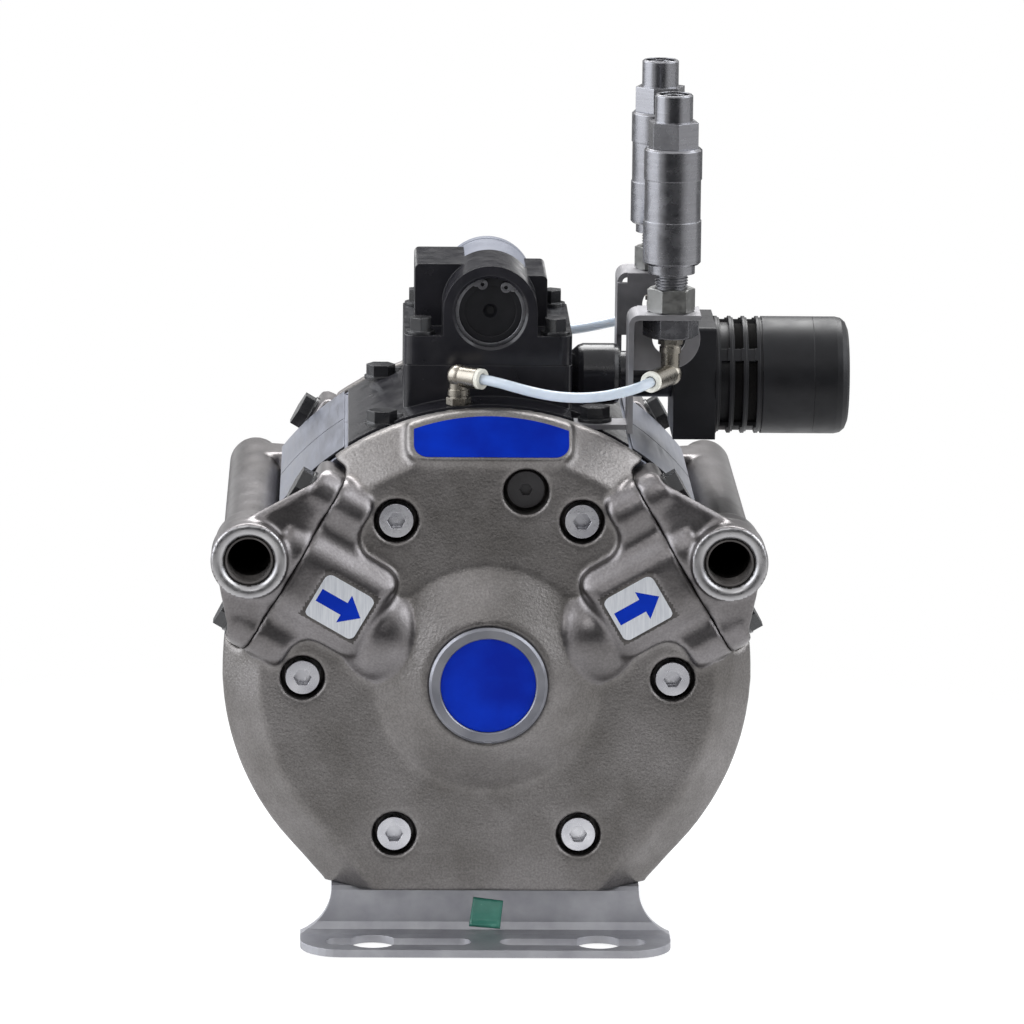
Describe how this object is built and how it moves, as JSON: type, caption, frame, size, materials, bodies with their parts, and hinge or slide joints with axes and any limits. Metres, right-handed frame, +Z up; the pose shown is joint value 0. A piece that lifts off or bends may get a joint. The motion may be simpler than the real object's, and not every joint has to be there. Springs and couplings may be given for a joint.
{
  "type": "diaphragm pump",
  "caption": "Air-operated double diaphragm pump: round steel covers, side manifolds with front ports, top air valve, muffler, and upright signal cylinders on brackets.",
  "frame": {"origin": "middle of the four foot slots, on the floor plane under the feet", "axes": "+X towards the outlet manifold and muffler, -Y out of the front cover, +Z up"},
  "size_m": [0.2477, 0.209, 0.3276],
  "materials": {
    "cast_steel": "bead-blasted, warm grey",
    "cast_satin": "smooth satin cast",
    "satin_aluminium": "satin, light blue-grey",
    "machined_steel": "ground",
    "ball_steel": "polished",
    "spring_steel": "drawn wire",
    "elastomer": "moulded, dark",
    "ptfe": "moulded, off-white",
    "bronze": "machined",
    "dark_manifold": "dark anodised, semi-gloss",
    "dark_plastic": "moulded, matte black",
    "grey_plastic": "turned, light grey",
    "felt": "felt",
    "black_bolts": "black oxide",
    "bright_screws": "stainless",
    "sheet_steel": "blasted sheet",
    "polished_steel": "polished, satin ends",
    "zinc": "zinc plated",
    "nickel_brass": "nickel plated",
    "tubing": "translucent polyurethane",
    "blue_label": "plain blue film",
    "silver_label": "brushed silver with plain blue arrows",
    "dark_plug": "dark"
  },
  "bodies": {
    "pump": {"front_fluid_cover": "cast_steel", "rear_fluid_cover": "cast_steel", "front_air_housing": "satin_aluminium", "rear_air_housing": "satin_aluminium", "intermediate_plates": "satin_aluminium", "clamp_rings": "satin_aluminium", "front_air_diaphragm": "elastomer", "rear_air_diaphragm": "elastomer", "front_fluid_diaphragm": "ptfe", "rear_fluid_diaphragm": "ptfe", "shaft_bush": "bronze", "shaft_seals": "elastomer", "air_manifold": "dark_manifold", "valve_body": "dark_manifold", "valve_front_cap": "dark_plastic", "valve_rear_cap": "grey_plastic", "snap_ring": "spring_steel", "valve_bolts": "black_bolts", "saddle_bolts": "black_bolts", "inlet_manifold": "cast_satin", "outlet_manifold": "cast_satin", "manifold_bolts": "black_bolts", "front_cover_screws": "bright_screws", "rear_cover_screws": "bright_screws", "check_seats": "machined_steel", "check_cages": "ptfe", "front_inlet_spring": "spring_steel", "rear_inlet_spring": "spring_steel", "front_outlet_spring": "spring_steel", "rear_outlet_spring": "spring_steel", "muffler_adapter": "dark_plastic", "muffler_body": "dark_plastic", "muffler_cap": "dark_plastic", "muffler_felt": "felt", "front_bracket": "sheet_steel", "rear_bracket": "sheet_steel", "signal_cylinders": "polished_steel", "signal_nozzles": "polished_steel", "locknuts": "zinc", "elbows": "nickel_brass", "release_collars": "ptfe", "front_tube": "tubing", "rear_tube": "tubing", "front_foot": "sheet_steel", "rear_foot": "sheet_steel", "foot_screws": "bright_screws", "hub_ring": "satin_aluminium", "label_plates": "blue_label", "arrow_plates": "silver_label", "vent_plug": "dark_plug"},
    "shaft_assembly": {"shaft": "machined_steel", "air_plates": "satin_aluminium", "fluid_plates": "machined_steel"},
    "front_inlet_ball_body": {"front_inlet_ball": "ball_steel"},
    "rear_inlet_ball_body": {"rear_inlet_ball": "ball_steel"},
    "front_outlet_ball_body": {"front_outlet_ball": "ball_steel"},
    "rear_outlet_ball_body": {"rear_outlet_ball": "ball_steel"},
    "front_pin_body": {"front_pilot_pin": "machined_steel"},
    "rear_pin_body": {"rear_pilot_pin": "machined_steel"},
    "spool_body": {"valve_spool": "machined_steel"}
  },
  "joints": [
    {"name": "shaft_slide", "type": "slide", "parent": "pump", "child": "shaft_assembly", "axis": [0, 1, 0], "range_m": [-0.008, 0.008], "deforming": ["front_air_diaphragm", "rear_air_diaphragm", "front_fluid_diaphragm", "rear_fluid_diaphragm"]},
    {"name": "front_inlet_ball_lift", "type": "slide", "parent": "pump", "child": "front_inlet_ball_body", "axis": [0.866, 0, -0.5], "range_m": [0, 0.003], "stiffness_N_per_m": 400, "springref_m": -0.002, "deforming": ["front_inlet_spring"]},
    {"name": "front_outlet_ball_lift", "type": "slide", "parent": "pump", "child": "front_outlet_ball_body", "axis": [0.866, 0, 0.5], "range_m": [0, 0.003], "stiffness_N_per_m": 400, "springref_m": -0.002, "deforming": ["front_outlet_spring"]},
    {"name": "rear_inlet_ball_lift", "type": "slide", "parent": "pump", "child": "rear_inlet_ball_body", "axis": [0.866, 0, -0.5], "range_m": [0, 0.003], "stiffness_N_per_m": 400, "springref_m": -0.002, "deforming": ["rear_inlet_spring"]},
    {"name": "rear_outlet_ball_lift", "type": "slide", "parent": "pump", "child": "rear_outlet_ball_body", "axis": [0.866, 0, 0.5], "range_m": [0, 0.003], "stiffness_N_per_m": 400, "springref_m": -0.002, "deforming": ["rear_outlet_spring"]},
    {"name": "front_pin_slide", "type": "slide", "parent": "pump", "child": "front_pin_body", "axis": [0, 1, 0], "range_m": [0, 0.0022]},
    {"name": "rear_pin_slide", "type": "slide", "parent": "pump", "child": "rear_pin_body", "axis": [0, -1, 0], "range_m": [0, 0.0022]},
    {"name": "spool_slide", "type": "slide", "parent": "pump", "child": "spool_body", "axis": [0, -1, 0], "range_m": [0, 0.006]}
  ]
}
